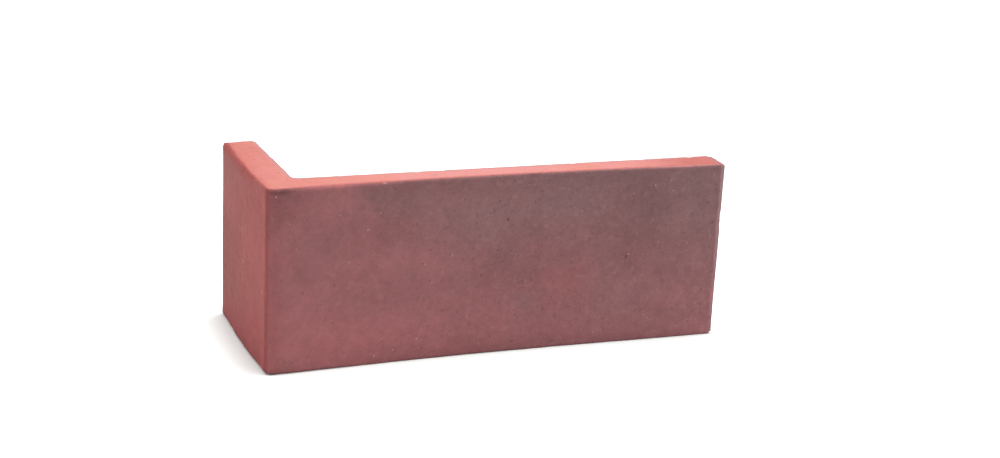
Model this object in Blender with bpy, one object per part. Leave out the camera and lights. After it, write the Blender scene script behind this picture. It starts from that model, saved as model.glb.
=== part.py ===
"""Clinker corner tile: one L-shaped slip of fired clay that wraps the corner of a facade.

Run with: blender --background --python part.py, or from Blender's text editor.
Metres, +Z up. The tile stands on its lower bed face. The origin is on the floor, at the centre
of the bounding box. The long leg runs along +X and the short leg along +Y, so the two faces
that show on the wall look to -Y and to -X, and the two backs that take the adhesive look to
+Y and to +X.
"""

import math

import bmesh
import bpy

MM = 0.001

# Driving dimensions
LONG_LEG = 185.5 * MM  # outer corner to the free end, along X
SHORT_LEG = 71 * MM  # outer corner to the free end, along Y
HEIGHT = 71 * MM  # bed face to bed face
LONG_THICKNESS = 13.4 * MM  # long leg, at its two ends
SHORT_THICKNESS = 13.3 * MM  # short leg, where its face stands out most

# Drying bent both faces: the long one is hollow and the short one stands out a little,
# each most at this distance from the outer corner
LONG_HOLLOW = 2.2 * MM
HOLLOW_FROM_CORNER = 82 * MM
SHORT_BULGE = 0.75 * MM
BULGE_FROM_CORNER = 30 * MM

# Upright edges
CORNER_RADIUS = 2.4 * MM  # outer corner, where the two faces meet
INNER_RADIUS = 3.0 * MM  # inner corner, between the two backs
LONG_END_RADIUS = 1.2 * MM  # face edge at the free end of the long leg
SHORT_END_RADIUS = 1.6 * MM  # face edge at the free end of the short leg
BACK_EDGE_RADIUS = 0.6 * MM  # back edge at both free ends

# Edges round the two bed faces
BED_EDGE_AT_CORNER = 1.5 * MM  # face edges, softest at the outer corner
BED_EDGE_AT_END = 0.8 * MM  # face edges, crisper towards the free end of the long leg
BED_EDGE_AT_BACK = 0.4 * MM  # edges of the two backs

# Facets
LONG_STEPS = 14  # straight runs in each half of the long face
SHORT_STEPS = 7  # straight runs in each half of the short face
CORNER_STEPS = 8  # in the outer and in the inner corner
EDGE_STEPS = 5  # in each smaller rounding

CLAY = (0.30, 0.115, 0.105, 1.0)


def clear_scene():
    for obj in list(bpy.data.objects):
        bpy.data.objects.remove(obj, do_unlink=True)


def fired_clay():
    """Matt, unglazed, red to violet clinker."""
    material = bpy.data.materials.new("fired_clay")
    material.use_nodes = True
    shader = material.node_tree.nodes["Principled BSDF"]
    shader.inputs["Base Color"].default_value = CLAY
    shader.inputs["Roughness"].default_value = 0.8
    shader.inputs["Metallic"].default_value = 0.0
    material.diffuse_color = CLAY
    return material


def face_edge(along):
    """Radius of the edge between a face and a bed, at a distance from the outer corner."""
    near_corner = 1 - along / LONG_LEG
    return BED_EDGE_AT_END + (BED_EDGE_AT_CORNER - BED_EDGE_AT_END) * near_corner**2


def rounded(x, y, radius, start, turn, steps, edge):
    """The outline round one corner whose sharp point would be at x, y.

    Each point is (x, y, normal x, normal y, radius of the bed edge there). start is the angle
    of the outward normal before the corner, and turn is 90 degrees, or -90 where the outline
    bends inwards.
    """
    side = math.copysign(radius, turn)
    centre_x = x - side * (math.cos(start) + math.cos(start + turn))
    centre_y = y - side * (math.sin(start) + math.sin(start + turn))
    points = []
    for i in range(steps + 1):
        normal_x = math.cos(start + turn * i / steps)
        normal_y = math.sin(start + turn * i / steps)
        points.append(
            (centre_x + side * normal_x, centre_y + side * normal_y, normal_x, normal_y, edge)
        )
    return points


def bowed(first, peak, last, bow, steps):
    """Places along a bent face, each with its share of the bow there and the slope of it."""
    places = []
    for i in range(1, 2 * steps):
        end = first if i <= steps else last
        at = peak + (end - peak) * abs(i - steps) / steps
        share = (at - peak) / (end - peak)
        level_out = math.sqrt(1 - share**2)
        depth = bow * level_out**3
        slope = -3 * bow * level_out * share / (end - peak)
        places.append((at, depth, slope))
    return places


def long_face():
    """The long face from the outer corner to its free end, bent inwards."""
    last = LONG_LEG - LONG_END_RADIUS
    first = SHORT_BULGE + CORNER_RADIUS
    points = []
    for x, depth, slope in bowed(first, HOLLOW_FROM_CORNER, last, LONG_HOLLOW, LONG_STEPS):
        length = math.hypot(slope, 1.0)
        points.append((x, depth, slope / length, -1 / length, face_edge(x)))
    return points


def short_face():
    """The short face from its free end to the outer corner, bent outwards."""
    first = SHORT_LEG - SHORT_END_RADIUS
    points = []
    for y, depth, slope in bowed(first, BULGE_FROM_CORNER, CORNER_RADIUS, SHORT_BULGE, SHORT_STEPS):
        length = math.hypot(slope, 1.0)
        points.append((SHORT_BULGE - depth, y, -1 / length, -slope / length, face_edge(y)))
    return points


def outline():
    """The L seen from above, anticlockwise from the outer corner."""
    right = math.pi / 2
    back = BED_EDGE_AT_BACK
    at_corner = face_edge(0)
    long_end = face_edge(LONG_LEG)
    short_end = face_edge(SHORT_LEG)
    return [
        *rounded(SHORT_BULGE, 0.0, CORNER_RADIUS, math.pi, right, CORNER_STEPS, at_corner),
        *long_face(),
        *rounded(LONG_LEG, 0.0, LONG_END_RADIUS, -right, right, EDGE_STEPS, long_end),
        *rounded(LONG_LEG, LONG_THICKNESS, BACK_EDGE_RADIUS, 0.0, right, EDGE_STEPS, back),
        *rounded(SHORT_THICKNESS, LONG_THICKNESS, INNER_RADIUS, right, -right, CORNER_STEPS, back),
        *rounded(SHORT_THICKNESS, SHORT_LEG, BACK_EDGE_RADIUS, 0.0, right, EDGE_STEPS, back),
        *rounded(SHORT_BULGE, SHORT_LEG, SHORT_END_RADIUS, right, right, EDGE_STEPS, short_end),
        *short_face(),
    ]


def level(angle, top):
    """The outline at one level of the rounded bed edge: 0 is on the walls, 90 degrees the bed."""
    points = []
    for x, y, normal_x, normal_y, edge in outline():
        inset = edge * (1 - math.cos(angle))
        rise = edge * (1 - math.sin(angle))
        points.append(
            (
                x - normal_x * inset - LONG_LEG / 2,
                y - normal_y * inset - SHORT_LEG / 2,
                HEIGHT - rise if top else rise,
            )
        )
    return points


def corner_tile():
    """The lower bed face, drawn up level by level through both rounded edges to the upper one."""
    angles = [math.pi / 2 * i / EDGE_STEPS for i in range(EDGE_STEPS + 1)]
    levels = [level(angle, top=False) for angle in reversed(angles)]
    levels += [level(angle, top=True) for angle in angles]

    mesh = bmesh.new()
    place = mesh.verts.layers.int.new("place_in_outline")
    for i, point in enumerate(levels[0]):
        mesh.verts.new(point)[place] = i
    mesh.verts.ensure_lookup_table()
    rim = [mesh.edges.new((mesh.verts[i - 1], mesh.verts[i])) for i in range(len(levels[0]))]
    bmesh.ops.contextual_create(mesh, geom=rim)
    for points in levels[1:]:
        drawn = bmesh.ops.extrude_edge_only(mesh, edges=rim)["geom"]
        rim = [item for item in drawn if isinstance(item, bmesh.types.BMEdge)]
        for vertex in (item for item in drawn if isinstance(item, bmesh.types.BMVert)):
            vertex.co = points[vertex[place]]
    bmesh.ops.contextual_create(mesh, geom=rim)
    bmesh.ops.recalc_face_normals(mesh, faces=mesh.faces)

    data = bpy.data.meshes.new("corner_tile")
    mesh.to_mesh(data)
    mesh.free()
    data.materials.append(fired_clay())
    data.shade_smooth()
    tile = bpy.data.objects.new("corner_tile", data)
    tile.modifiers.new("even_shading", "WEIGHTED_NORMAL")
    bpy.context.scene.collection.objects.link(tile)
    return tile


clear_scene()
corner_tile()
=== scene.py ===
"""The clinker corner tile as it looks: fired skin, wire-cut beds, rough back and worn edges.

The tile's surface is one closed lattice of small quads. Its points are worked out in millimetres
from the outer corner, with the long leg along X, the short leg along Y and the height along Z,
and are put into the frame's metres once, when the mesh is made. The floor, the lights and the
camera are placed in metres.
"""

import math
import random

import bpy
import numpy as np
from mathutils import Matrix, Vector, noise


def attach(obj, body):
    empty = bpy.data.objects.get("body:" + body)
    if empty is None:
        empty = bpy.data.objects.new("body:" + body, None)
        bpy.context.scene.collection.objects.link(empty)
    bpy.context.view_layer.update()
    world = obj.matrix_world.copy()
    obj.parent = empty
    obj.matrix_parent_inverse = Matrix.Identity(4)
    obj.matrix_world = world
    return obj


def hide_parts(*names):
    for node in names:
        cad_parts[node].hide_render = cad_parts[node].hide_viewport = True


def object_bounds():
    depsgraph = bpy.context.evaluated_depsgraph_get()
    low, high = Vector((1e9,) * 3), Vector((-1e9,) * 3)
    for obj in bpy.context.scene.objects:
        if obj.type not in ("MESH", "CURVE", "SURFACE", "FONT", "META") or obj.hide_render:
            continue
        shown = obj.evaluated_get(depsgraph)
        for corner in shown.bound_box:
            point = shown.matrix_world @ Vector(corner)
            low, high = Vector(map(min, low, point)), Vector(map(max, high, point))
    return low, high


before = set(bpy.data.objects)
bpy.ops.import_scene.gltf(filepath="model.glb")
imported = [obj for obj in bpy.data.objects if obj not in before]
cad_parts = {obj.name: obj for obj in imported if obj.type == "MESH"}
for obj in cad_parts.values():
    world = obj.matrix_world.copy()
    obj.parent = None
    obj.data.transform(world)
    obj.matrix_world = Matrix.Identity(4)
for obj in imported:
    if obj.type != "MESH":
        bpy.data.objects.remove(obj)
cad_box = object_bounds()

# Sizes, in millimetres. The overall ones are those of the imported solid.
MM = 0.001
LONG, SHORT, HIGH = (round((high - low) / MM, 3) for low, high in zip(*cad_box))
LONG_THICK, SHORT_THICK = 13.4, 13.3
CORNER_RADIUS, INNER_RADIUS = 2.4, 3.0  # outer corner, and inner corner between the backs
LONG_END_RADIUS, SHORT_END_RADIUS = 0.8, 1.6  # upright edges at the free ends
EDGE_AT_CORNER, EDGE_AT_END, EDGE_AT_BACK = 1.5, 0.8, 0.25  # edges round the beds
HOLLOW, HOLLOW_AT = 2.2, 82.0  # how far the long face bends in, and where it does most
BULGE, BULGE_AT = 0.75, 30.0  # how far the short face stands out, and where it does most
SLUMP = 0.1  # how much softer the top edge of the short leg gets towards its free end
SLUMP_REACH = 24.0  # how far from that end this starts

# The lattice, in millimetres
GRID = 0.74  # rows on the plain faces
FINE = (0.0, 0.2, 0.4, 0.62, 0.88, 1.2, 1.6, 2.15)  # rows beside an edge
ACROSS_LEG = 12.0  # the thickness that the rows across a leg are counted over
END_ZONE = 5.0  # points this near to a free end take its rounding
FAR_AWAY = 999.0  # from the short free end, for all that is not on the short leg

# Noise in the surface: height, size of a wave (one, or along X, Y and Z), octaves, seed
SLOW_WAVES = (0.10, 34, 2, 3.1)
DIE_MARKS = (0.03, (1.8, 1.8, 30), 3, 8.2)
LEVEL_SCUFFS = (0.02, (9, 9, 1.5), 2, 41.0)
SAND = (0.03, 1.8, 3, 5.7)
DENTS = (1.0, 6.5, 2, 12.9)
WIRE_TRACK = (0.06, (1.4, 11, 1.4), 3, 15.3)
TEARS = (1.0, (9, 9, 15), 4, 21.5)
BACK_WAVES = (0.25, (19, 19, 30), 2, 61.0)
DRAG_RIDGES = (0.2, (2.4, 2.4, 42), 3, 33.0)
TORN_CRUMBS = (0.22, (2.6, 2.6, 3.2), 3, 52.0)
EDGE_SWAY = (0.35, (7, 0.3, 1), 2, 2.4)
PATCH_SWAY_X = (5, 13, 3, 71.0)
PATCH_SWAY_Z = (4, 13, 3, 83.0)
FADE, FINER = 0.9, 2.0  # how fast the octaves fade, and how much finer each one is
DENT_DEPTH = 0.22
BACK_LEVEL = 0.34  # mean height of the rough back over the smooth one
TORN_DEPTH = 0.5

# Corners knocked off that the photo shows: middle of the ball that takes the corner, radius
KNOCKED = (
    ((-1.2, SHORT + 0.5, HIGH + 0.2), 2.9),
    ((SHORT_THICK + 1.0, SHORT + 0.8, HIGH + 1.0), 2.4),
    ((LONG + 0.6, LONG_THICK + 1.0, HIGH + 1.2), 2.6),
    ((LONG + 0.6, -0.4, -0.8), 2.3),
)
KNOCKED_SEED = 4.4
FRESH_CORNER = ((LONG + 0.9, -0.9, HIGH + 1.0), 2.2)  # top front corner of the long free end

# Chips out of the long face's edges that the photo shows: along X, height, ball radius, and how
# far the ball is pushed in from CHIP_OUT
CHIP_OUT = 0.4
CHIPS = (
    (24.6, HIGH, 1.4, 0.3),
    (35.8, HIGH, 1.4, 0.3),
    (44.5, HIGH, 4.2, 0.8),
    (47.5, HIGH, 2.4, 0.7),
    (41.0, HIGH, 1.6, 0.35),
    (50.8, HIGH, 1.3, 0.3),
    (108.7, HIGH, 1.8, 0.4),
    (119.0, HIGH, 1.6, 0.35),
    (152.0, HIGH, 2.6, 0.4),
    (20.0, 0.0, 3.0, 0.5),
    (25.6, 0.0, 2.4, 0.6),
    (41.2, 0.0, 3.6, 0.5),
    (133.0, 0.0, 5.0, 0.45),
)

# Small chips along the back edges of both beds, along the short leg's back edge at the top once
# more, and along the long free end's upright edges: how many, and the ranges of the ball's radius
# and of how far it is pushed in
BACK_CHIPS, BACK_CHIP_RADII, BACK_CHIP_PUSHES = 34, (1.4, 4.0), (-0.15, 0.35)
TOP_CHIPS, TOP_CHIP_RADII, TOP_CHIP_PUSHES = 9, (1.2, 2.2), (0.05, -0.3)
END_CHIPS, END_CHIP_RADII, END_CHIP_PUSHES = 9, (1.2, 2.6), (-0.1, 0.2)
CHIPS_SEED, CHIP_SEED_STEP = 11, 1.7
ON_LONG_BACK = 0.8  # share of the back chips that the long leg has
CHIPS_FROM = 20  # back chips start this far from the outer corner
MARGIN = 4  # what chips keep from the free ends, and chips and pits from the beds
FRONT_DEEPER = 0.2  # how much deeper the front chips of the long free end are

# Small pits: how many in each face, and the ranges of the ball's radius and of the depth
LONG_PITS, SHORT_PITS, PIT_RADII, PIT_DEPTHS = 34, 12, (0.9, 2.2), (0.15, 0.4)
PITS_SEED, PIT_SEED_STEP = 23, 3.1
PIT_MARGIN, SHORT_PITS_FROM = 5, 6  # what pits keep from the upright edges
DOT_DEPTH, DOT_WIDER = 0.3, 0.6  # pit under each dark dot: its depth, and its ball's extra radius

# The balls that cut: how uneven they are, the size of their unevenness and their reach, in radii
BITE_ROUGH, BITE_WAVE, BITE_REACH = 0.12, 0.6, 1.3

# Patches of the long face's skin that the photo shows darker, paler or redder, mostly stains and
# some painted shade and light at its edges: along X, height, half width, half height, how much
# lighter and how much redder in the middle
STAINS_AND_SHADING = (
    (80.0, 71.0, 90.0, 4.5, -0.05, 0.0),
    # painted shade along the foot of the long face
    (92.0, 0.5, 130.0, 2.0, -0.04, 0.0),
    (7.0, 66.0, 10.0, 8.0, -0.25, 0.45),
    (8.0, 50.0, 5.0, 9.0, -0.06, 0.35),
    (7.0, 24.0, 7.0, 16.0, -0.04, 0.0),
    (26.0, 64.0, 15.0, 7.0, 0.08, 0.35),
    (44.0, 66.0, 9.0, 5.0, -0.06, -0.25),
    (42.0, 51.0, 12.0, 6.0, -0.09, 0.2),
    (52.0, 40.0, 24.0, 5.0, 0.07, 0.1),
    (34.0, 8.0, 24.0, 7.0, 0.04, 0.15),
    (82.0, 1.0, 40.0, 5.0, -0.12, 0.05),
    (58.0, 62.0, 10.0, 6.0, 0.06, -0.1),
    (82.0, 55.0, 20.0, 11.0, 0.16, -0.25),
    (119.0, 60.0, 15.0, 9.0, 0.12, -0.25),
    (152.0, 52.0, 8.0, 14.0, -0.12, 0.0),
    (146.0, 34.0, 6.0, 5.0, -0.11, 0.1),
    (94.0, 34.0, 12.0, 8.0, -0.12, 0.0),
    (105.0, 27.0, 8.0, 6.0, -0.08, 0.1),
    (119.0, 27.0, 9.0, 7.0, -0.08, 0.25),
    (104.0, 20.0, 5.0, 4.0, 0.11, -0.3),
    (174.0, 56.0, 9.0, 15.0, 0.12, -0.15),
    (143.0, 19.0, 9.0, 7.0, 0.08, -0.2),
    (171.0, 16.0, 7.0, 4.0, 0.06, 0.1),
    (3.0, 70.1, 6.0, 1.1, -0.4, 0.3),
    # painted light on the rounded top edge near the outer corner, given as redder, brighter skin
    (28.0, 70.7, 20.0, 1.3, 0.0, 0.8),
    (172.0, 71.0, 20.0, 0.8, 0.4, 0.5),
    # painted contact shadow at the foot of the outer corner
    (1.5, 0.2, 4.0, 1.4, -0.4, 0.0),
    (176.0, 3.0, 9.0, 3.0, 0.1, 0.1),
    (182.0, 1.6, 4.0, 2.6, 0.16, 0.0),
    (180.3, 1.6, 0.8, 2.0, 0.25, 0.0),
)
PATCH_FALL = 0.9  # how fast a patch fades outwards
LOW_PATCH = 8.0  # half height under which a patch sways less up and down

# Single dots that stand out on the long face: along X, height, radius
DARK_DOTS = (
    (94.9, 53.4, 0.85),
    (145.3, 35.4, 0.7),
    (70.6, 55.8, 0.5),
    (116.4, 13.0, 0.5),
    (84.9, 31.8, 0.5),
    (83.8, 47.8, 0.5),
    (64.0, 31.5, 0.5),
    (99.9, 29.1, 0.5),
    (93.3, 36.8, 0.45),
    (111.1, 16.3, 0.45),
    (10.6, 4.1, 0.5),
    (154.9, 63.4, 0.45),
    (108.3, 63.7, 0.45),
    (122.8, 63.6, 0.45),
    (83.1, 27.2, 0.45),
    (77.1, 62.4, 0.45),
    (26.5, 32.9, 0.45),
    (161.4, 47.5, 0.45),
)
PALE_DOTS = (
    (50.2, 5.1, 0.5),
    (42.7, 3.4, 0.45),
    (59.6, 8.6, 0.45),
    (146.3, 36.4, 0.45),
    (3.8, 68.2, 0.45),
    (163.4, 61.3, 0.4),
    (155.7, 63.8, 0.4),
    (32.0, 41.3, 0.45),
    (43.8, 59.4, 0.4),
    (72.8, 40.7, 0.4),
    (39.0, 53.2, 0.4),
    (45.7, 9.9, 0.4),
    (125.1, 55.1, 0.35),
    (122.1, 56.5, 0.35),
    (176.9, 13.7, 0.35),
    (62.1, 37.9, 0.35),
    (133.2, 4.8, 0.35),
    (79.6, 15.8, 0.35),
)

# Pale dots that stand out on the short face: along Y, height, radius
SHORT_DOTS = ((34.7, 46.3, 0.9), (36.6, 65.6, 0.7), (32.8, 34.1, 1.0), (6.8, 30.4, 1.1))

# Dark flecks on the upper bed: along X, along Y
BED_DOTS = ((6.4, 43.0), (9.5, 60.0), (3.5, 30.5), (10.5, 22.0), (1.9, 55.5), (1.2, 37.6))
BED_DOT_RADIUS = 0.7

# Scratches on the upper bed near the long free end: middle along X and Y, half length, slope
SCRATCHES = ((169.7, 6.4, 3.6, -0.58), (171.2, 6.0, 2.3, -1.45), (164.8, 9.6, 2.6, -0.9))
SCRATCH_HALF_WIDTH = 0.5

# Pale spot at the top of the long free end: a painted glint on the worn corner
GLINT = (LONG - 0.4, 0.6, HIGH - 0.2)
GLINT_RADIUS = 1.0

# Colours of the long face's skin, low and high, near the outer corner and far from it
LOW_NEAR, LOW_FAR = (0.257, 0.082, 0.087), (0.212, 0.080, 0.085)
HIGH_NEAR, HIGH_FAR = (0.184, 0.073, 0.077), (0.154, 0.076, 0.079)

# Colours of the short face's skin
SHORT_HIGH, SHORT_LOW = (0.256, 0.060, 0.055), (0.235, 0.045, 0.046)
VIOLET = (0.225, 0.070, 0.068)
DUSK = (0.212, 0.049, 0.044)
GLOW = (0.298, 0.067, 0.057)
BROW = (0.240, 0.038, 0.032)
SHORT_END = (0.215, 0.072, 0.070)

# Colours of marks on the skin
ARRIS = (0.185, 0.029, 0.031)
SCUFF = (0.28, 0.16, 0.16)
IRON = (0.05, 0.022, 0.022)
PALE_DOT = (0.52, 0.36, 0.34)
PINK_DOT = (0.50, 0.26, 0.25)
# pale line along the long free end's rounded edge: painted highlight, partly wear
WEAR_AND_HIGHLIGHT_LOW, WEAR_AND_HIGHLIGHT_HIGH = (0.275, 0.107, 0.12), (0.27, 0.155, 0.164)
# painted contact shade along the lowest edge of the skin
FOOT_SHADE = (0.075, 0.03, 0.03)
NICK = (0.07, 0.03, 0.032)
SMEAR = (0.40, 0.235, 0.23)
DENT = (0.08, 0.035, 0.037)
GROG = (0.45, 0.26, 0.25)
SPECK = (0.52, 0.40, 0.38)

# Colours of the cut body
BODY_DEEP, BODY = (0.398, 0.124, 0.104), (0.425, 0.147, 0.129)
BODY_MIDDLE = (0.47, 0.184, 0.171)
BODY_ORANGE = (0.455, 0.158, 0.121)
BODY_DULL = (0.328, 0.080, 0.068)
# painted highlight along the bed's front edge near the long free end
BED_EDGE_HIGHLIGHT = (0.46, 0.21, 0.19)
BODY_AT_BACK = (0.35, 0.170, 0.166)
BODY_RIM = (0.29, 0.073, 0.068)
BODY_TIP = (0.30, 0.115, 0.135)

# Colours of the marks on edges and beds
FRESH = (0.46, 0.20, 0.18)
# painted glint on the worn top corner of the long free end
GLINT_ON_WORN_CORNER = (0.58, 0.42, 0.40)
FLECK = (0.10, 0.03, 0.03)
SCRATCH = (0.25, 0.04, 0.035)

# Colours of the back
DRAWN_DARK, DRAWN_PALE = (0.218, 0.071, 0.063), (0.282, 0.097, 0.087)
DRAWN_LINE = (0.32, 0.122, 0.11)
TORN_DARK, TORN_PALE = (0.232, 0.077, 0.068), (0.325, 0.115, 0.101)
CRUMB = (0.17, 0.052, 0.045)

# A white table that reaches far past the picture on all sides
FLOOR_REACH = 6.0
FLOOR_COLOUR = (0.87, 0.905, 0.885, 1)

# A soft light from above and a weak one from the left, both aimed at LIT_SPOT, and a white sky:
# name, place, size and power of each light
LIGHTS = (("overhead", (0.07, 0.0, 1.3), 0.5, 18), ("left", (-1.0, -0.35, 0.55), 0.6, 2.2))
LIT_SPOT = (0, 0, 0.03)
SKY_STRENGTH = 0.8

# Where the photo was taken from: place, turn in degrees, focal length and sensor width in mm
CAMERA_PLACE = (-0.24488, -0.62356, 0.24144)
CAMERA_TURN = (73.282, -2.7392, -21.6193)
LENS, SENSOR = 63.32, 36.0


def ramp(value, low, high):
    """0 at low, 1 at high and beyond, with a smooth step between them."""
    t = np.clip((value - low) / (high - low), 0.0, 1.0)
    return t * t * (3 - 2 * t)


def waves(points, kind):
    """Fractal noise at points in mm. kind is its height, size, octaves and seed."""
    height, size, octaves, seed = kind
    q = points / np.asarray(size, float) + seed
    return height * np.array([noise.fractal(Vector(p), FADE, FINER, octaves) for p in q])


def steps(length, fine_start, fine_end):
    """Places from 0 to length, GRID apart, closer together at a fine end."""
    head = list(FINE) if fine_start else [0.0]
    tail = [length - f for f in reversed(FINE)] if fine_end else [length]
    gap = tail[0] - head[-1]
    count = max(1, round(gap / GRID))
    middle = [head[-1] + gap * i / count for i in range(1, count)]
    return np.array(head + middle + tail)


def stations():
    """Pairs of points on the face and on the back, from the short free end to the long one."""
    face, back = [], []
    # middle of the inner rounding
    inner_x = SHORT_THICK + INNER_RADIUS
    inner_y = LONG_THICK + INNER_RADIUS
    for d in steps(SHORT - inner_y, True, False)[:-1]:
        face.append((BULGE, SHORT - d))
        back.append((SHORT_THICK, SHORT - d))
    arc = CORNER_RADIUS * math.pi / 2
    first = inner_y - CORNER_RADIUS
    whole = first + arc + inner_x - CORNER_RADIUS - BULGE
    for d in steps(whole, False, False):
        if d < first:
            face.append((BULGE, inner_y - d))
        elif d < first + arc:
            a = math.pi + (d - first) / CORNER_RADIUS
            x = BULGE + CORNER_RADIUS * (1 + math.cos(a))
            face.append((x, CORNER_RADIUS * (1 + math.sin(a))))
        else:
            face.append((BULGE + CORNER_RADIUS + d - first - arc, 0.0))
        a = math.pi + math.pi / 2 * d / whole
        back.append((inner_x + INNER_RADIUS * math.cos(a), inner_y + INNER_RADIUS * math.sin(a)))
    for d in steps(LONG - inner_x, False, True)[1:]:
        face.append((inner_x + d, 0.0))
        back.append((inner_x + d, LONG_THICK))
    return np.array(face), np.array(back)


FACE, BACK = stations()
THICK = np.hypot(*(BACK - FACE).T)
ON_SHORT_LEG = FACE[:, 0] < BULGE + 0.001
TO_SHORT_END = np.where(ON_SHORT_LEG, SHORT - FACE[:, 1], FAR_AWAY)
TO_LONG_END = LONG - FACE[:, 0]
TO_END = np.minimum(TO_SHORT_END, TO_LONG_END)
# distance along the face from the middle of the outer corner, less than 0 on the short leg
ALONG = np.cumsum(np.hypot(*np.diff(FACE, axis=0, prepend=FACE[:1]).T))
ALONG -= ALONG[np.argmin(FACE.sum(axis=1))]
ACROSS = steps(ACROSS_LEG, True, True)
UP = steps(HIGH, True, True)


def stains_and_shading(points):
    """How much lighter and how much redder the long face's skin is at each point: stains, and some
    painted shade and light.
    """
    sway_x = waves(points, PATCH_SWAY_X)
    sway_z = waves(points, PATCH_SWAY_Z)
    lighter, redder = np.zeros(len(points)), np.zeros(len(points))
    for x, height, half_width, half_height, light, red in STAINS_AND_SHADING:
        wide = (points[:, 0] + sway_x - x) / half_width
        high = (points[:, 2] + sway_z * min(1, half_height / LOW_PATCH) - height) / half_height
        share = np.exp(-(wide**2 + high**2) * PATCH_FALL)
        lighter += light * share
        redder += red * share
    return lighter, redder


def lattice():
    """The closed surface of the box of stations by rows: index triples, and quads facing out."""
    shape = (len(FACE), len(ACROSS), len(UP))
    number = -np.ones(shape, int)
    shell = np.zeros(shape, bool)
    sides = []
    for axis in range(3):
        for end in (0, -1):
            side = tuple(end if i == axis else slice(None) for i in range(3))
            shell[side] = True
            sides.append((axis, end, side))
    places = np.argwhere(shell)
    number[shell] = np.arange(len(places))
    quads = []
    for axis, end, side in sides:
        sheet = number[side]
        corners = [sheet[:-1, :-1], sheet[1:, :-1], sheet[1:, 1:], sheet[:-1, 1:]]
        if (end == 0) != (axis == 1):
            corners.reverse()
        quads.append(np.stack(corners, -1).reshape(-1, 4))
    return places, np.concatenate(quads)


def bed_edge(along, height):
    """Radius of a face's edge on a bed: soft at the corner, crisp at the long free end."""
    near_corner = 1 - np.minimum(np.abs(along) / LONG, 1)
    radius = EDGE_AT_END + (EDGE_AT_CORNER - EDGE_AT_END) * near_corner**2
    where = np.column_stack([along, height > HIGH / 2, 0 * along])
    radius = radius * (1 + waves(where, EDGE_SWAY))
    slumped = ramp(-along, SHORT - SLUMP_REACH, SHORT) * (height > HIGH / 2)
    return radius + SLUMP * slumped


def rounded(iu, iv, iw):
    """Lattice points on the rounded edges: shift from the free end, depth and height."""
    thick = THICK[iu]
    step = ACROSS[iv]
    height = UP[iw]
    # rows near an edge keep their distance from it, the others share the rest of the thickness
    fine = FINE[-1]
    share = (step - fine) / (ACROSS_LEG - 2 * fine)
    depth = np.where(step > ACROSS_LEG / 2, thick - (ACROSS_LEG - step), step)
    middle = (share > 0) & (share < 1)
    depth = np.where(middle, fine + share * (thick - 2 * fine), depth)

    # radius of the rounding at each point
    to_end = TO_END[iu]
    upright = ramp(np.minimum(height, HIGH - height), 1.0, 5.0) * (to_end < 3)
    at_end = np.where(TO_SHORT_END[iu] < END_ZONE, SHORT_END_RADIUS, LONG_END_RADIUS)
    at_face = bed_edge(ALONG[iu], height)
    at_face = at_face + (at_end - at_face) * upright
    side = ramp(depth / thick, 0.35, 0.65)
    radius = at_face * (1 - side) + EDGE_AT_BACK * side

    # each point is put at that radius from the nearest place that lies as deep on all sides
    v = np.clip(depth, radius, thick - radius)
    w = np.clip(height, radius, HIGH - radius)
    u = np.maximum(to_end, radius)
    dv, dw, du = depth - v, height - w, to_end - u
    size = np.sqrt(dv**2 + dw**2 + du**2)
    pull = np.where(size > 0, radius / np.maximum(size, 1e-9), 0)
    return (u + du * pull) - to_end, v + dv * pull, w + dw * pull


def bow(at, first, peak, last):
    """1 at the peak of a bent face, 0 at its two ends."""
    reach = np.where(at < peak, peak - first, last - peak)
    share = np.clip(np.abs(at - peak) / reach, 0.0, 1.0)
    return (1 - share**2) ** 1.5


def smooth_tile(iu, iv, iw):
    """Where each lattice point stands on the smooth tile, and its depth behind the face."""
    shift, depth, height = rounded(iu, iv, iw)
    x, y = (FACE[iu] + (BACK - FACE)[iu] * (depth / THICK[iu])[:, None]).T
    y = np.where(TO_SHORT_END[iu] < END_ZONE, y - shift, y)
    x = np.where(TO_LONG_END[iu] < END_ZONE, x - shift, x)
    face_side = 1 - ramp(depth / THICK[iu], 0.0, 1.0)
    sunk = HOLLOW * bow(x, BULGE + CORNER_RADIUS, HOLLOW_AT, LONG - LONG_END_RADIUS)
    raised = BULGE * bow(y, CORNER_RADIUS, BULGE_AT, SHORT - SHORT_END_RADIUS)
    y = y + np.where(ALONG[iu] > 0, sunk * face_side, 0)
    x = x - np.where(ALONG[iu] < 0, raised * face_side, 0)
    return np.column_stack([x, y, height]), depth


def outward(points, quads):
    """The direction out of the surface at each point."""
    quad = points[quads]
    cross = np.cross(quad[:, 2] - quad[:, 0], quad[:, 3] - quad[:, 1])
    total = np.zeros_like(points)
    for k in range(4):
        np.add.at(total, quads[:, k], cross)
    return total / np.linalg.norm(total, axis=1)[:, None]


def tearing(points):
    """1 where the drawn skin of the back is torn away and 0 where it is whole."""
    return ramp(waves(points, TEARS), 0.0, 0.22)


def back_relief(points, iu, on_long, tear):
    """The back: ridges that the die dragged upright, and rough hollows where it tore."""
    drawn = waves(points, DRAG_RIDGES)
    rough = waves(points, TORN_CRUMBS) - TORN_DEPTH
    slow = waves(points, BACK_WAVES)
    back = BACK_LEVEL + slow * on_long + drawn * (1 - tear) + rough * tear * (0.5 + 0.5 * on_long)
    # less of it near the beds and in the inner corner
    to_bed = np.minimum(points[:, 2], HIGH - points[:, 2])
    share = (0.35 + 0.65 * ramp(to_bed, 0.5, 5.0)) * (0.35 + 0.65 * ramp(np.abs(ALONG[iu]), 9, 20))
    return BACK_LEVEL + (back - BACK_LEVEL) * share


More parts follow.
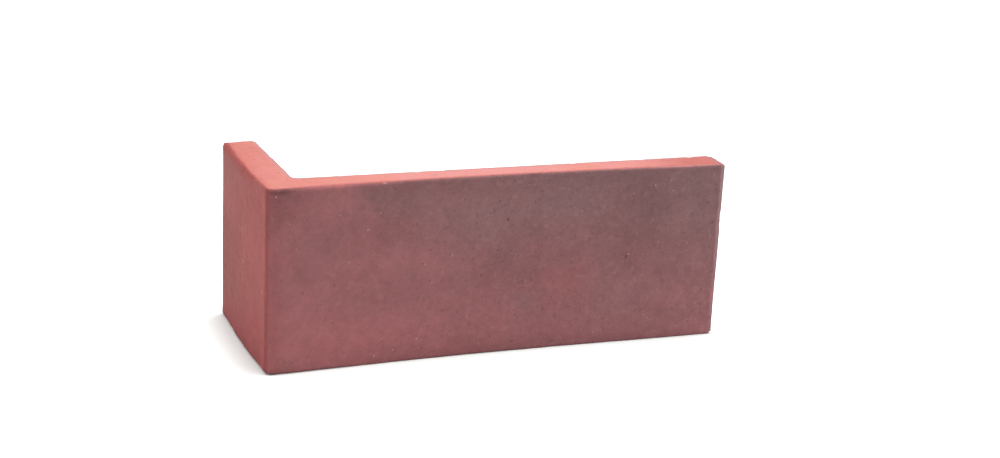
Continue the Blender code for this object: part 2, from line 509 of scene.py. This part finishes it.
def relief(points, out, depth, iu, tear):
    """Height of the fired surface over the smooth one, in mm."""
    on_bed = ramp(np.abs(out[:, 2]), 0.5, 0.9)
    on_face = 1 - ramp(depth, 0.1, 1.2)
    on_back = 1 - ramp(THICK[iu] - depth, 0.1, 1.0)
    on_end = (1 - ramp(TO_END[iu], 0.1, 1.2)) * (1 - on_bed)
    skin = np.clip(on_face + on_end, 0, 1) * (1 - on_bed)
    on_long = ramp(ALONG[iu], -8, 14)
    total = waves(points, SLOW_WAVES) * (1 - on_bed)
    total += waves(points, DIE_MARKS) * skin * on_long
    total += waves(points, LEVEL_SCUFFS) * skin
    total += waves(points, SAND) * (0.4 + 0.6 * on_long)
    total -= DENT_DEPTH * ramp(waves(points, DENTS), 0.35, 0.75) * skin
    total += waves(points, WIRE_TRACK) * on_bed
    total += back_relief(points, iu, on_long, tear) * on_back
    return total


def bite(points, centre, radius, seed):
    """A chip's hollow: the points within a ragged ball are pushed out to its surface."""
    away = points - centre
    distance = np.linalg.norm(away, axis=1)
    near = np.flatnonzero(distance < radius * BITE_REACH)
    uneven = waves(points[near], (BITE_ROUGH, radius * BITE_WAVE, 2, seed))
    push = np.maximum(radius * (1 + uneven) - distance[near], 0)
    points[near] += away[near] * (push / distance[near])[:, None]
    return near, push


def long_face_at(x):
    """How far behind the plane of its ends the long face lies."""
    return HOLLOW * bow(np.array([x]), CORNER_RADIUS, HOLLOW_AT, LONG)[0]


def short_face_at(y):
    """How far behind its most raised line the short face lies."""
    return BULGE * (1 - bow(np.array([y]), CORNER_RADIUS, BULGE_AT, SHORT)[0])


def pits(points):
    """Small dents in both faces, cut into points."""
    for x, z, radius in DARK_DOTS:
        ball = radius + DOT_WIDER
        bite(points, np.array((x, long_face_at(x) - ball + DOT_DEPTH, z)), ball, x)
    draw = random.Random(PITS_SEED)
    for i in range(LONG_PITS + SHORT_PITS):
        radius = draw.uniform(*PIT_RADII)
        lift = radius - draw.uniform(*PIT_DEPTHS)
        z = draw.uniform(MARGIN, HIGH - MARGIN)
        if i < LONG_PITS:
            x = draw.uniform(PIT_MARGIN, LONG - PIT_MARGIN)
            centre = (x, long_face_at(x) - lift, z)
        else:
            y = draw.uniform(SHORT_PITS_FROM, SHORT - PIT_MARGIN)
            centre = (short_face_at(y) - lift, y, z)
        bite(points, np.array(centre), radius, PIT_SEED_STEP * i)


def shown_chips():
    """The balls that cut the chips the photo shows: middle and radius of each."""
    balls = []
    for x, height, radius, push in CHIPS:
        reach = radius / math.sqrt(2) - push + CHIP_OUT
        upwards = 1 if height > 0 else -1
        balls.append(((x, long_face_at(x) - reach, height + upwards * reach), radius))
    return balls


def chip_size(draw, radii, pushes):
    """Radius of a ball, and how far its middle lies outside both faces of the edge it cuts."""
    radius = draw.uniform(*radii)
    return radius, radius / math.sqrt(2) - draw.uniform(*pushes)


def back_chips(draw):
    """Balls along the edges between the backs and the beds, most of them on the long leg."""
    balls = []
    for _ in range(BACK_CHIPS):
        radius, reach = chip_size(draw, BACK_CHIP_RADII, BACK_CHIP_PUSHES)
        if draw.random() < ON_LONG_BACK:
            up = draw.choice((-1, 1))
            z = (HIGH if up > 0 else 0.0) + up * reach
            x = draw.uniform(CHIPS_FROM, LONG - MARGIN)
            balls.append(((x, LONG_THICK + reach, z), radius))
        else:
            y = draw.uniform(CHIPS_FROM, SHORT - MARGIN)
            balls.append(((SHORT_THICK + reach, y, -reach), radius))
    for _ in range(TOP_CHIPS):
        radius, reach = chip_size(draw, TOP_CHIP_RADII, TOP_CHIP_PUSHES)
        y = draw.uniform(CHIPS_FROM, SHORT - MARGIN)
        balls.append(((SHORT_THICK + reach, y, HIGH + reach), radius))
    return balls


def end_chips(draw):
    """Balls along the two upright edges of the long free end."""
    balls = []
    for _ in range(END_CHIPS):
        radius, reach = chip_size(draw, END_CHIP_RADII, END_CHIP_PUSHES)
        y = LONG_THICK + reach if draw.random() < 0.5 else FRONT_DEEPER - reach
        balls.append(((LONG + reach, y, draw.uniform(MARGIN, HIGH - MARGIN)), radius))
    return balls


def chips(points):
    """Chips out of the edges, cut into points. Returns how deep each point was cut."""
    draw = random.Random(CHIPS_SEED)
    balls = shown_chips() + back_chips(draw) + end_chips(draw) + [FRESH_CORNER]
    depth = np.zeros(len(points))
    for i, (centre, radius) in enumerate(balls):
        near, push = bite(points, np.array(centre), radius, CHIP_SEED_STEP * i)
        depth[near] = np.maximum(depth[near], push)
    return depth


def make_mesh(points, quads, values):
    """The tile's mesh in the frame's metres, with what the clay's colours follow at each point."""
    data = bpy.data.meshes.new("tile")
    in_frame = (points - (LONG / 2, SHORT / 2, 0)) * MM
    data.from_pydata(in_frame.tolist(), [], quads.tolist())
    data.validate()
    for name, numbers in values.items():
        layer = data.attributes.new(name, "FLOAT", "POINT")
        layer.data.foreach_set("value", numbers.astype(np.float32))
    data.shade_smooth()
    return data


def make_tile():
    places, quads = lattice()
    iu, iv, iw = places.T
    smooth, depth = smooth_tile(iu, iv, iw)
    out = outward(smooth, quads)
    tear = tearing(smooth)
    points = smooth + out * relief(smooth, out, depth, iu, tear)[:, None]
    pits(points)
    bare = chips(points)
    for centre, radius in KNOCKED:
        bite(points, np.array(centre), radius, KNOCKED_SEED)
    lighter, redder = stains_and_shading(points)
    points = np.clip(points, 0, (LONG, SHORT, HIGH))
    print("tile:", len(points), "points,", 2 * len(quads), "triangles")

    values = {
        "inward": depth,
        "to_back": THICK[iu] - depth,
        "to_end": TO_END[iu],
        "along": ALONG[iu],
        "bare": bare,
        "tear": tear,
        "lighter": lighter,
        "redder": redder,
    }
    tile = bpy.data.objects.new("tile", make_mesh(points, quads, values))
    bpy.context.scene.collection.objects.link(tile)
    return tile


class Nodes:
    """A short way to write a material's nodes. Values may be numbers or sockets."""

    def __init__(self, name):
        self.material = bpy.data.materials.new(name)
        self.material.use_nodes = True
        self.tree = self.material.node_tree
        self.shader = self.tree.nodes["Principled BSDF"]

    def add(self, kind, inputs=(), **settings):
        node = self.tree.nodes.new(kind)
        for key, value in settings.items():
            setattr(node, key, value)
        for key, value in dict(inputs).items():
            self.put(node.inputs[key], value)
        return node

    def put(self, socket, value):
        if isinstance(value, bpy.types.NodeSocket):
            self.tree.links.new(value, socket)
        else:
            socket.default_value = value

    def value(self, name):
        """A value that the mesh holds at each point."""
        return self.add("ShaderNodeAttribute", attribute_name=name).outputs["Fac"]

    def math(self, operation, a, b=0.0):
        return self.add("ShaderNodeMath", {0: a, 1: b}, operation=operation).outputs[0]

    def times(self, a, b):
        return self.math("MULTIPLY", a, b)

    def plus(self, a, b):
        return self.math("ADD", a, b)

    def minus(self, a, b):
        return self.math("SUBTRACT", a, b)

    def sway(self, value, amount):
        """A noise of 0 to 1 turned into plus or minus half the amount."""
        return self.times(self.minus(value, 0.5), amount)

    def step(self, value, low, high, to_low=0.0, to_high=1.0):
        """A smooth step from to_low, where value is low, to to_high, where it is high."""
        inputs = {"Value": value, 1: low, 2: high, 3: to_low, 4: to_high}
        node = self.add("ShaderNodeMapRange", inputs, interpolation_type="SMOOTHSTEP")
        return node.outputs[0]

    def mix(self, share, a, b, blend="MIX"):
        node = self.add("ShaderNodeMix", data_type="RGBA", blend_type=blend)
        self.put(node.inputs[0], share)
        self.put(node.inputs[6], a if isinstance(a, bpy.types.NodeSocket) else (*a, 1))
        self.put(node.inputs[7], b if isinstance(b, bpy.types.NodeSocket) else (*b, 1))
        return node.outputs[2]

    def tint(self, colour, where, share, other):
        """A colour mixed with another by a share, where there is any."""
        return self.mix(self.times(where, share), colour, other)

    def shaded(self, colour, change):
        """A colour made lighter by a change over 0 and darker by one under 0."""
        return self.mix(1.0, colour, self.plus(change, 1.0), "MULTIPLY")

    def noise(self, place, scale, detail, rough):
        inputs = {"Vector": place, "Scale": scale, "Detail": detail, "Roughness": rough}
        return self.add("ShaderNodeTexNoise", inputs).outputs[0]

    def spots(self, place, scale, size, edge, chance):
        """1 inside scattered round spots. size and edge are in cells, chance is their share."""
        inputs = {"Vector": place, "Scale": scale, "Randomness": 1.0}
        cell = self.add("ShaderNodeTexVoronoi", inputs)
        pick = self.add("ShaderNodeSeparateColor", {0: cell.outputs["Color"]})
        kept = self.math("LESS_THAN", pick.outputs[0], chance)
        size = self.times(size, self.step(pick.outputs[1], 0, 1, 0.5, 1.0))
        inside = self.step(self.minus(size, cell.outputs["Distance"]), 0, edge)
        return self.times(inside, kept)

    def dots(self, place, centres):
        """1 inside each round dot of centres, given as x, y, z and radius."""
        most = 0.0
        for x, y, z, radius in centres:
            inputs = {0: place, 1: (x, y, z)}
            away = self.add("ShaderNodeVectorMath", inputs, operation="DISTANCE").outputs["Value"]
            most = self.math("MAXIMUM", self.step(away, radius, radius * 0.4), most)
        return most

    def stroke(self, place, middle, half_size, turn):
        """1 inside a long thin mark that is turned about the vertical."""
        inputs = {"Vector": place, "Location": middle, "Rotation": (0, 0, turn), "Scale": half_size}
        inside = self.add("ShaderNodeMapping", inputs, vector_type="TEXTURE").outputs[0]
        away = self.add("ShaderNodeVectorMath", {0: inside}, operation="LENGTH").outputs["Value"]
        return self.step(away, 1.0, 0.4)

    def stretched(self, place, size, tilt=0.0):
        """Places counted in sizes along each axis, turned so that level marks slope by tilt."""
        inputs = {"Vector": place, "Scale": size, "Rotation": (tilt, -tilt, 0)}
        return self.add("ShaderNodeMapping", inputs, vector_type="TEXTURE").outputs[0]

    def plus_place(self, place, shift):
        """Places moved by the same shift, a number or a socket, along all three axes."""
        if not isinstance(shift, bpy.types.NodeSocket):
            shift = (shift, shift, shift)
        return self.add("ShaderNodeVectorMath", {0: place, 1: shift}).outputs[0]

    def flattened(self, place, axes):
        """Places with the axes that are given as 0 left out."""
        inputs = {0: place, 1: axes}
        return self.add("ShaderNodeVectorMath", inputs, operation="MULTIPLY").outputs[0]


class Clay(Nodes):
    """The nodes of the fired clay, with what its looks share. Distances are in millimetres."""

    def __init__(self):
        super().__init__("fired_clay")
        # place, share of the height, depth behind the face, distances to the back and to the
        # nearer free end, and distance from the outer corner, less than 0 on the short leg
        spot = self.add("ShaderNodeTexCoord").outputs["Object"]
        self.at = self.stretched(spot, (MM, MM, MM))
        height = self.add("ShaderNodeSeparateXYZ", {0: self.at}).outputs[2]
        self.up = self.math("DIVIDE", height, HIGH)
        self.inward = self.value("inward")
        self.to_back = self.value("to_back")
        self.to_end = self.value("to_end")
        self.along = self.value("along")

        # noises, from wide patches to fine grain, and places made uneven
        self.blotch = self.noise(self.at, 0.04, 3, 0.55)
        self.patch = self.noise(self.at, 0.17, 4, 0.6)
        self.crumb = self.noise(self.at, 1.3, 4, 0.75)
        self.grain = self.noise(self.at, 1.5, 3, 0.75)
        self.lines = self.noise(self.stretched(self.at, (0.5, 0.5, 14.0)), 1.0, 3, 0.65)
        self.fringe = self.sway(self.noise(self.at, 0.9, 4, 0.65), 0.9)
        self.ragged = self.plus_place(self.at, self.sway(self.noise(self.at, 1.2, 2, 0.6), 0.9))
        self.pores = self.spots(self.ragged, 0.34, 0.22, 0.14, 0.5)
        self.grog = self.spots(self.plus_place(self.ragged, 5.3), 0.4, 0.28, 0.2, 0.4)

        # 1 on the long leg, on the short leg, and on the long leg away from the corner
        self.long_leg = self.step(self.along, -3.8, -0.6)
        self.short_leg = self.step(self.along, 0.0, -6.0)
        self.on_long = self.step(self.along, 0.0, 20.0)

        # 1 on the wire-cut beds, on the back, and where the back is torn
        self.beyond = self.beyond_skin()
        inside_end = self.step(self.plus(self.to_end, self.fringe), 0.35, 0.7)
        self.cut = self.times(self.step(self.beyond, -0.2, 0.3), inside_end)
        self.back = self.step(self.plus(self.to_back, self.times(self.fringe, 0.3)), 0.22, 0.06)
        self.torn = self.step(self.plus(self.value("tear"), self.fringe), 0.3, 0.8)

        # how much grain there is: least on the short leg, most at the long free end
        more = self.step(self.along, 10.0, 110.0, 0.0, 0.33)
        self.grainy = self.plus(self.plus(self.times(self.long_leg, 0.35), more), 0.2)

    def beyond_skin(self):
        """How far behind the edge of the skin a point of a bed lies."""
        edge = self.plus(0.55, self.times(self.short_leg, 0.1))
        edge = self.plus(edge, self.step(self.along, SLUMP_REACH - SHORT, -SHORT, 0.0, 0.8))
        edge = self.plus(edge, self.step(self.along, -22.0, -36.0, 0.0, 0.3))
        near_corner = self.step(self.along, 60.0, 15.0, 0.0, 0.3)
        edge = self.plus(edge, self.times(near_corner, self.long_leg))
        return self.minus(self.plus(self.inward, self.fringe), edge)


def long_skin(n):
    """The long face: red low and near the corner, greyer high and towards its free end."""
    redder = n.value("redder")
    high = n.minus(n.plus(n.up, n.sway(n.blotch, 0.5)), redder)
    far = n.math("DIVIDE", n.along, LONG)
    far = n.minus(n.plus(far, n.sway(n.patch, 0.6)), redder)
    high, far = n.step(high, -0.1, 1.1), n.step(far, -0.1, 1.1)
    low_skin = n.mix(far, LOW_NEAR, LOW_FAR)
    high_skin = n.mix(far, HIGH_NEAR, HIGH_FAR)
    return n.shaded(n.mix(high, low_skin, high_skin), n.value("lighter"))


def short_skin(n):
    """The short face: deep red low, violet high at the far end, and dusky at the far middle.

    It glows near the outer corner, has a dark brow along the top and a duller free end.
    """
    low = n.step(n.plus(n.up, n.sway(n.patch, 0.5)), 0.55, 0.0)
    skin = n.mix(low, SHORT_HIGH, SHORT_LOW)
    violet = n.step(n.plus(n.times(n.along, -1 / SHORT), n.sway(n.blotch, 1.2)), 0.45, 1.05)
    violet = n.times(violet, n.step(n.plus(n.up, n.sway(n.patch, 0.3)), 0.25, 0.85))
    skin = n.tint(skin, violet, 0.5, VIOLET)
    dusk = n.times(n.step(n.up, 0.72, 0.5), n.step(n.up, 0.08, 0.25))
    dusk = n.times(dusk, n.step(n.plus(n.along, n.sway(n.patch, 12.0)), -24.0, -50.0))
    skin = n.mix(dusk, skin, DUSK)
    skin = n.tint(skin, n.step(n.along, -11.0, -2.5), 0.5, GLOW)
    brow = n.step(n.up, 1 - 6 / HIGH, 1 - 1 / HIGH)
    reach = n.plus(n.step(n.along, -10.0, -30.0), n.step(n.along, -8.0, -2.0, 0.0, 0.8))
    skin = n.tint(skin, n.times(brow, reach), 0.7, BROW)
    on_end = n.times(n.step(n.inward, 0.8, 3.0), n.step(n.to_end, 1.0, 0.3))
    return n.tint(skin, on_end, 0.7, SHORT_END)


def corner_line(n, skin):
    """The dark red line down the outer corner."""
    line = n.times(n.step(n.along, 0.5, -1.5), 0.6)
    line = n.plus(line, n.step(n.along, 7.0, 0.5, 0.0, 0.24))
    line = n.times(line, n.step(n.along, -4.4, -2.4))
    return n.mix(line, skin, ARRIS)


def scuffs(n, skin):
    """Pale scuffs in three directions, each given by its tilt and length."""
    for tilt, length in ((0.12, 3.4), (1.05, 2.8), (-0.6, 3.0)):
        scuff = n.noise(n.stretched(n.at, (length, length, 0.5), tilt), 1.0, 2, 0.5)
        scuff = n.times(n.step(scuff, 0.62, 0.78, 0.0, 0.22), n.grainy)
        skin = n.mix(scuff, skin, SCUFF)
    return skin


def smoke(n, skin):
    """Uneven darkness from the kiln, in three sizes."""
    wide = n.sway(n.noise(n.at, 0.09, 3, 0.6), 0.6)
    middle = n.sway(n.noise(n.at, 0.3, 3, 0.6), 0.6)
    fine = n.times(n.sway(n.noise(n.at, 0.8, 2, 0.6), 0.5), n.grainy)
    return n.shaded(skin, n.times(n.plus(n.plus(middle, wide), fine), 0.6))


def face_dots(n, skin):
    """The single dots that stand out on the two faces."""
    flat = n.flattened(n.ragged, (1, 0, 1))
    dark = n.dots(flat, [(x - LONG / 2, 0, z, radius) for x, z, radius in DARK_DOTS])
    pale = n.dots(flat, [(x - LONG / 2, 0, z, radius) for x, z, radius in PALE_DOTS])
    skin = n.tint(skin, n.times(dark, n.long_leg), 0.5, IRON)
    skin = n.tint(skin, n.times(pale, n.long_leg), 0.36, PALE_DOT)
    side = n.flattened(n.ragged, (0, 1, 1))
    pink = n.dots(side, [(0, y - SHORT / 2, z, radius) for y, z, radius in SHORT_DOTS])
    return n.tint(skin, n.times(pink, n.short_leg), 0.3, PINK_DOT)


def end_wear_and_highlight(n, skin):
    """The free end of the long leg, with a pale line along its rounded edge: painted highlight,
    partly wear.
    """
    # painted highlight along the rounded edge of the long free end, partly wear
    worn = n.plus(n.times(n.fringe, 0.5), n.sway(n.noise(n.at, 0.25, 3, 0.6), 1.6))
    wear_and_highlight = n.step(n.plus(n.to_end, worn), 2.2, 1.3)
    wear_and_highlight = n.times(wear_and_highlight, n.step(n.plus(n.inward, worn), 0.9, 0.3))
    wear_and_highlight = n.times(wear_and_highlight, n.step(n.to_end, 0.2, 0.9, 0.2, 1.0))
    wear_and_highlight = n.times(wear_and_highlight, n.step(n.noise(n.at, 0.11, 4, 0.7), 0.3, 0.55, 0.45, 1.0))
    return n.mix(n.times(wear_and_highlight, n.long_leg), skin, n.mix(n.up, WEAR_AND_HIGHLIGHT_LOW, WEAR_AND_HIGHLIGHT_HIGH))


def foot_contact_shade(n, skin):
    """Painted contact shade along the lowest edge of the skin, darkest at the outer corner and
    plain at the long free end.
    """
    # painted contact shade, strongest at the foot of the outer corner
    at_corner = n.step(n.math("ABSOLUTE", n.along), 5.0, 1.0)
    share = n.plus(n.times(at_corner, 0.4), n.step(n.along, 178.0, 150.0, 0.0, 0.26))
    return n.mix(n.times(n.step(n.up, 1.2 / HIGH, 0.3 / HIGH), share), skin, FOOT_SHADE)


def duller(n):
    """How much duller the cut body is: near the face, and at both free ends."""
    near_face = n.times(n.step(n.inward, 3.4, 0.8), n.plus(n.times(n.on_long, 0.5), 0.3))
    on_short = n.times(n.step(n.inward, 8.0, 1.0, 0.0, 0.2), n.short_leg)
    near_face = n.plus(near_face, on_short)
    long_end = n.step(n.along, 150.0, 176.0, 0.0, 0.68)
    short_end = n.step(n.along, -30.0, -50.0, 0.0, 0.25)
    return n.plus(n.plus(long_end, near_face), short_end)


def cut_body(n):
    """The clay inside, as the cut beds show it: salmon, palest halfway along the long leg."""
    cloud = n.noise(n.at, 0.12, 4, 0.6)
    body = n.mix(n.step(cloud, 0.3, 0.7), BODY_DEEP, BODY)
    middle = n.times(n.step(n.along, 20.0, 60.0), n.step(n.along, 172.0, 135.0))
    body = n.tint(body, middle, 0.75, BODY_MIDDLE)
    hue = n.noise(n.stretched(n.at, (16.0, 30.0, 16.0)), 1.0, 2, 0.5)
    pinker = n.times(n.step(n.along, 45.0, 75.0), n.step(n.along, 125.0, 95.0))
    orange = n.minus(n.step(hue, 0.35, 0.7, 0.0, 0.7), n.times(pinker, 0.6))
    body = n.mix(orange, body, BODY_ORANGE)
    return n.mix(duller(n), body, BODY_DULL)


def bed_rims(n, body):
    """The beds' outer strips: a painted highlight beside the far skin, the back, a dark rim, the
    tip.
    """
    # painted highlight along the bed's front edge near the long free end
    edge_highlight = n.times(n.step(n.beyond, 0.8, 0.3), n.step(n.along, 145.0, 165.0))
    body = n.tint(body, edge_highlight, 0.85, BED_EDGE_HIGHLIGHT)
    body = n.mix(n.step(n.to_back, 2.2, 0.5, 0.0, 0.65), body, BODY_AT_BACK)
    rim = n.plus(n.step(n.along, -25.0, -45.0, 0.0, 0.5), n.step(n.along, 40.0, 8.0, 0.0, 0.3))
    rim = n.times(n.step(n.beyond, 0.9, 0.0), n.plus(rim, 0.1))
    body = n.mix(rim, body, BODY_RIM)
    tip = n.step(n.plus(n.to_end, n.times(n.fringe, 2.0)), 4.5, 0.9)
    return n.tint(body, n.times(tip, n.long_leg), 0.75, BODY_TIP)


def wire_marks(n, body):
    """The faint track of the cutting wire across the beds, faintest on the short leg."""
    wire = n.noise(n.stretched(n.at, (9.0, 1.1, 4.0)), 1.0, 3, 0.6)
    return n.shaded(body, n.times(n.sway(wire, 0.2), n.plus(n.times(n.on_long, 0.8), 0.2)))


def back_clay(n):
    """The back: upright streaks with paler lines, and crumbs where it is torn."""
    streaks = n.noise(n.stretched(n.at, (2.0, 2.0, 33.0)), 1.0, 3, 0.6)
    drawn = n.mix(n.step(streaks, 0.25, 0.75), DRAWN_DARK, DRAWN_PALE)
    drawn = n.mix(n.step(n.lines, 0.35, 0.65, 0.0, 0.22), drawn, DRAWN_LINE)
    rough = n.mix(n.noise(n.at, 0.6, 4, 0.65), TORN_DARK, TORN_PALE)
    rough = n.mix(n.step(n.crumb, 0.6, 0.4, 0.0, 0.3), rough, CRUMB)
    return n.mix(n.torn, drawn, rough)


def from_middle(x, y, z):
    """A place counted from the outer corner, turned into one from the tile's middle."""
    return x - LONG / 2, y - SHORT / 2, z


def single_marks(n, base):
    """Fresh clay in the chips, the painted glint on the worn top corner, and flecks and scratches
    on the upper bed.
    """
    base = n.mix(n.step(n.value("bare"), 0.1, 0.35, 0.0, 0.75), base, FRESH)
    # painted glint of light on the worn top corner of the long free end
    glint = n.dots(n.at, [(*from_middle(*GLINT), GLINT_RADIUS)])
    base = n.tint(base, glint, 0.6, GLINT_ON_WORN_CORNER)
    fleck = n.dots(n.ragged, [(*from_middle(x, y, HIGH), BED_DOT_RADIUS) for x, y in BED_DOTS])
    base = n.tint(base, fleck, 0.6, FLECK)
    for x, y, half_length, slope in SCRATCHES:
        half_size = (half_length, SCRATCH_HALF_WIDTH, 1.0)
        scratch = n.stroke(n.ragged, from_middle(x, y, HIGH), half_size, slope)
        base = n.tint(base, scratch, 0.4, SCRATCH)
    return base


def nicks(n, base):
    """Short dark nicks and paler smears, level and upright, and soft dents and blooms."""
    bent = n.plus_place(n.at, n.sway(n.noise(n.at, 0.5, 3, 0.6), 2.4))
    for lengths, seed in (((1.8, 1.8, 0.8), 2.7), ((0.8, 0.8, 1.9), 9.1)):
        mark = n.stretched(n.plus_place(bent, seed), lengths)
        nick = n.spots(mark, 0.36, 0.3, 0.24, 0.5)
        smear = n.spots(n.plus_place(mark, seed), 0.3, 0.34, 0.3, 0.35)
        base = n.tint(base, n.times(nick, n.grainy), 0.3, NICK)
        base = n.tint(base, n.times(smear, n.grainy), 0.16, SMEAR)
    dent = n.step(n.noise(n.plus_place(bent, 4.4), 0.42, 2, 0.5), 0.58, 0.72)
    bloom = n.step(n.noise(n.plus_place(bent, 17.0), 0.36, 2, 0.5), 0.58, 0.72)
    base = n.tint(base, n.times(dent, n.grainy), 0.13, DENT)
    return n.tint(base, n.times(bloom, n.grainy), 0.09, SMEAR)


def grain(n, base):
    """Grain, dark pores, pale raised grog and the smallest pale specks."""
    shade = n.mix(n.step(n.grain, 0.25, 0.75), (0.97, 0.97, 0.97), (1.03, 1.03, 1.03))
    base = n.mix(n.grainy, base, shade, "MULTIPLY")
    base = n.tint(base, n.times(n.pores, n.grainy), 0.36, IRON)
    base = n.tint(base, n.times(n.grog, n.grainy), 0.15, GROG)
    specks = n.spots(n.at, 0.32, 0.10, 0.05, 0.5)
    return n.tint(base, n.times(specks, n.grainy), 0.42, SPECK)


def bumps(n):
    """What is too fine for the lattice: grain, drag marks, pores, grog and the back's crumbs."""
    fine = n.noise(n.at, 2.2, 4, 0.7)
    coarse = n.noise(n.at, 0.55, 3, 0.6)
    height = n.times(n.plus(n.times(fine, 0.045), n.times(coarse, 0.24)), n.grainy)
    drag = n.noise(n.stretched(n.at, (1.4, 1.4, 20.0)), 1.0, 3, 0.6)
    height = n.plus(height, n.times(n.times(drag, n.long_leg), 0.04))
    height = n.plus(height, n.plus(n.times(n.pores, -0.4), n.times(n.grog, 0.4)))
    keyed = n.mix(n.torn, n.times(n.lines, 0.5), n.times(n.crumb, 0.9))
    height = n.plus(height, n.times(n.back, keyed))
    return n.add("ShaderNodeBump", {"Strength": 0.6, "Distance": MM, "Height": height}).outputs[0]


def clay_material():
    """Skin on the faces and ends, the cut body on the beds, the torn back, and marks over all."""
    n = Clay()
    skin = n.mix(n.long_leg, short_skin(n), long_skin(n))
    for look in (corner_line, scuffs, smoke, face_dots, end_wear_and_highlight, foot_contact_shade):
        skin = look(n, skin)
    body = wire_marks(n, bed_rims(n, cut_body(n)))
    base = n.mix(n.back, n.mix(n.cut, skin, body), back_clay(n))
    for look in (single_marks, nicks, grain):
        base = look(n, base)
    n.put(n.shader.inputs["Base Color"], base)
    n.shader.inputs["Specular IOR Level"].default_value = 0.3
    n.put(n.shader.inputs["Roughness"], n.step(n.grain, 0.3, 0.7, 0.72, 0.9))
    n.put(n.shader.inputs["Normal"], bumps(n))
    return n.material


def floor_material():
    material = bpy.data.materials.new("pale_floor")
    material.use_nodes = True
    shader = material.node_tree.nodes["Principled BSDF"]
    shader.inputs["Base Color"].default_value = FLOOR_COLOUR
    shader.inputs["Roughness"].default_value = 0.9
    shader.inputs["Specular IOR Level"].default_value = 0.1
    return material


def make_floor():
    data = bpy.data.meshes.new("floor")
    r = FLOOR_REACH
    data.from_pydata([(-r, -r, 0), (r, -r, 0), (r, r, 0), (-r, r, 0)], [], [(0, 1, 2, 3)])
    data.materials.append(floor_material())
    floor = bpy.data.objects.new("floor", data)
    bpy.context.scene.collection.objects.link(floor)


def area_light(name, place, size, power):
    """A round light that looks at the tile."""
    light = bpy.data.lights.new(name, "AREA")
    light.shape = "DISK"
    light.size = size
    light.energy = power
    lamp = bpy.data.objects.new(name, light)
    lamp.location = place
    aim = Vector(LIT_SPOT) - Vector(place)
    lamp.rotation_euler = aim.to_track_quat("-Z", "Y").to_euler()
    bpy.context.scene.collection.objects.link(lamp)


def make_world():
    world = bpy.data.worlds.new("studio")
    world.use_nodes = True
    world.node_tree.nodes["Background"].inputs["Color"].default_value = (1, 1, 1, 1)
    world.node_tree.nodes["Background"].inputs["Strength"].default_value = SKY_STRENGTH
    bpy.context.scene.world = world


def make_camera():
    """The camera of the photo: to the left of the long face and a little above it."""
    data = bpy.data.cameras.new("camera")
    data.sensor_width = SENSOR
    data.lens = LENS
    data.clip_start = 0.01
    camera = bpy.data.objects.new("camera", data)
    camera.location = CAMERA_PLACE
    camera.rotation_euler = [math.radians(a) for a in CAMERA_TURN]
    bpy.context.scene.collection.objects.link(camera)
    return camera


tile = make_tile()
tile.data.materials.append(clay_material())
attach(tile, "root")
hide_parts("corner_tile")

make_floor()
for light in LIGHTS:
    area_light(*light)
make_world()
bpy.context.scene.view_settings.view_transform = "Standard"
bpy.context.scene.camera = make_camera()
